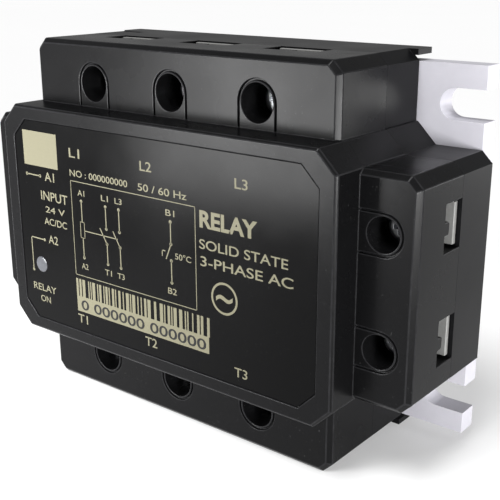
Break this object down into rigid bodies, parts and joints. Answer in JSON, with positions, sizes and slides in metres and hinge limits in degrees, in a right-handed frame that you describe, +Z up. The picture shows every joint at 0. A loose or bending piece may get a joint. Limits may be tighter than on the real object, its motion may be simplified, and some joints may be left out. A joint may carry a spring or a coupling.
{
  "type": "solid state relay",
  "caption": "Three-phase solid state relay: black cross-shaped housing with screw terminals on four sides, a front label with a lamp, and a slotted aluminium base plate.",
  "frame": {"origin": "centre of the base plate's back, the mounting face", "axes": "+Y out of the mounting face, so the label faces -Y; +Z up towards the L terminals; +X towards the B terminals"},
  "size_m": [0.103, 0.0363, 0.0728],
  "materials": {
    "cover_plastic": "satin moulded black",
    "frame_plastic": "satin moulded black",
    "label_film": "printed black film",
    "lens": "smoky clear",
    "lamp": "clear green tint",
    "base_plate": "fine satin",
    "tinned_conductor": "tin plated",
    "plated_steel": "zinc plated",
    "circuit_board": "green solder mask",
    "ceramic": "fired white",
    "silicon": "metallised chip",
    "varistor_coat": "blue epoxy coat",
    "black_moulding": "black moulded body"
  },
  "bodies": {
    "root": {"base_plate": "base_plate", "rear_frame": "frame_plastic", "front_cover": "cover_plastic", "front_label": "label_film", "led_lens": "lens", "control_board": "circuit_board", "led_lamp": "lamp", "optocoupler_upper": "black_moulding", "optocoupler_lower": "black_moulding", "ceramic_substrate_L1": "ceramic", "thyristor_L1_forward": "silicon", "thyristor_L1_reverse": "silicon", "varistor_L1": "varistor_coat", "ceramic_substrate_L3": "ceramic", "thyristor_L3_forward": "silicon", "thyristor_L3_reverse": "silicon", "varistor_L3": "varistor_coat", "thermostat": "black_moulding", "busbar_L1": "tinned_conductor", "busbar_L3": "tinned_conductor", "busbar_T1": "tinned_conductor", "busbar_T3": "tinned_conductor", "busbar_L2_T2": "tinned_conductor", "terminal_bar_A1": "tinned_conductor", "terminal_bar_A2": "tinned_conductor", "terminal_bar_B1": "tinned_conductor", "terminal_bar_B2": "tinned_conductor", "fixing_screw_upper_left": "plated_steel", "fixing_screw_upper_right": "plated_steel", "fixing_screw_lower_left": "plated_steel", "fixing_screw_lower_right": "plated_steel"},
    "clamp_L1": {"clamp_plate_L1": "plated_steel"},
    "screw_L1": {"screw_L1": "plated_steel"},
    "clamp_L2": {"clamp_plate_L2": "plated_steel"},
    "screw_L2": {"screw_L2": "plated_steel"},
    "clamp_L3": {"clamp_plate_L3": "plated_steel"},
    "screw_L3": {"screw_L3": "plated_steel"},
    "clamp_T1": {"clamp_plate_T1": "plated_steel"},
    "screw_T1": {"screw_T1": "plated_steel"},
    "clamp_T2": {"clamp_plate_T2": "plated_steel"},
    "screw_T2": {"screw_T2": "plated_steel"},
    "clamp_T3": {"clamp_plate_T3": "plated_steel"},
    "screw_T3": {"screw_T3": "plated_steel"},
    "clamp_A1": {"clamp_plate_A1": "plated_steel"},
    "screw_A1": {"screw_A1": "plated_steel"},
    "clamp_A2": {"clamp_plate_A2": "plated_steel"},
    "screw_A2": {"screw_A2": "plated_steel"},
    "clamp_B1": {"clamp_plate_B1": "plated_steel"},
    "screw_B1": {"screw_B1": "plated_steel"},
    "clamp_B2": {"clamp_plate_B2": "plated_steel"},
    "screw_B2": {"screw_B2": "plated_steel"}
  },
  "joints": [
    {"name": "clamp_slide_L1", "type": "slide", "parent": "root", "child": "clamp_L1", "axis": [0, 1, 0], "range_m": [0, 0.0042]},
    {"name": "screw_turn_L1", "type": "hinge", "parent": "clamp_L1", "child": "screw_L1", "pos_m": [-0.02, -0.0226, 0.0284], "axis": [0, 1, 0], "range_deg": [0, 2160]},
    {"name": "clamp_slide_L2", "type": "slide", "parent": "root", "child": "clamp_L2", "axis": [0, 1, 0], "range_m": [0, 0.0042]},
    {"name": "screw_turn_L2", "type": "hinge", "parent": "clamp_L2", "child": "screw_L2", "pos_m": [0, -0.0226, 0.0284], "axis": [0, 1, 0], "range_deg": [0, 2160]},
    {"name": "clamp_slide_L3", "type": "slide", "parent": "root", "child": "clamp_L3", "axis": [0, 1, 0], "range_m": [0, 0.0042]},
    {"name": "screw_turn_L3", "type": "hinge", "parent": "clamp_L3", "child": "screw_L3", "pos_m": [0.02, -0.0226, 0.0284], "axis": [0, 1, 0], "range_deg": [0, 2160]},
    {"name": "clamp_slide_T1", "type": "slide", "parent": "root", "child": "clamp_T1", "axis": [0, 1, 0], "range_m": [0, 0.0042]},
    {"name": "screw_turn_T1", "type": "hinge", "parent": "clamp_T1", "child": "screw_T1", "pos_m": [-0.02, -0.0226, -0.0284], "axis": [0, 1, 0], "range_deg": [0, 2160]},
    {"name": "clamp_slide_T2", "type": "slide", "parent": "root", "child": "clamp_T2", "axis": [0, 1, 0], "range_m": [0, 0.0042]},
    {"name": "screw_turn_T2", "type": "hinge", "parent": "clamp_T2", "child": "screw_T2", "pos_m": [0, -0.0226, -0.0284], "axis": [0, 1, 0], "range_deg": [0, 2160]},
    {"name": "clamp_slide_T3", "type": "slide", "parent": "root", "child": "clamp_T3", "axis": [0, 1, 0], "range_m": [0, 0.0042]},
    {"name": "screw_turn_T3", "type": "hinge", "parent": "clamp_T3", "child": "screw_T3", "pos_m": [0.02, -0.0226, -0.0284], "axis": [0, 1, 0], "range_deg": [0, 2160]},
    {"name": "clamp_slide_A1", "type": "slide", "parent": "root", "child": "clamp_A1", "axis": [0, 1, 0], "range_m": [0, 0.0042]},
    {"name": "screw_turn_A1", "type": "hinge", "parent": "clamp_A1", "child": "screw_A1", "pos_m": [-0.0452, -0.0226, 0.01], "axis": [0, 1, 0], "range_deg": [0, 2520]},
    {"name": "clamp_slide_A2", "type": "slide", "parent": "root", "child": "clamp_A2", "axis": [0, 1, 0], "range_m": [0, 0.0042]},
    {"name": "screw_turn_A2", "type": "hinge", "parent": "clamp_A2", "child": "screw_A2", "pos_m": [-0.0452, -0.0226, -0.01], "axis": [0, 1, 0], "range_deg": [0, 2520]},
    {"name": "clamp_slide_B1", "type": "slide", "parent": "root", "child": "clamp_B1", "axis": [0, 1, 0], "range_m": [0, 0.0042]},
    {"name": "screw_turn_B1", "type": "hinge", "parent": "clamp_B1", "child": "screw_B1", "pos_m": [0.0452, -0.0226, 0.01], "axis": [0, 1, 0], "range_deg": [0, 2520]},
    {"name": "clamp_slide_B2", "type": "slide", "parent": "root", "child": "clamp_B2", "axis": [0, 1, 0], "range_m": [0, 0.0042]},
    {"name": "screw_turn_B2", "type": "hinge", "parent": "clamp_B2", "child": "screw_B2", "pos_m": [0.0452, -0.0226, -0.01], "axis": [0, 1, 0], "range_deg": [0, 2520]}
  ],
  "couplings": [
    {"joint": "screw_turn_L1", "follows": "clamp_slide_L1", "rad_per_m": 8976},
    {"joint": "screw_turn_L2", "follows": "clamp_slide_L2", "rad_per_m": 8976},
    {"joint": "screw_turn_L3", "follows": "clamp_slide_L3", "rad_per_m": 8976},
    {"joint": "screw_turn_T1", "follows": "clamp_slide_T1", "rad_per_m": 8976},
    {"joint": "screw_turn_T2", "follows": "clamp_slide_T2", "rad_per_m": 8976},
    {"joint": "screw_turn_T3", "follows": "clamp_slide_T3", "rad_per_m": 8976},
    {"joint": "screw_turn_A1", "follows": "clamp_slide_A1", "rad_per_m": 10472},
    {"joint": "screw_turn_A2", "follows": "clamp_slide_A2", "rad_per_m": 10472},
    {"joint": "screw_turn_B1", "follows": "clamp_slide_B1", "rad_per_m": 10472},
    {"joint": "screw_turn_B2", "follows": "clamp_slide_B2", "rad_per_m": 10472}
  ]
}
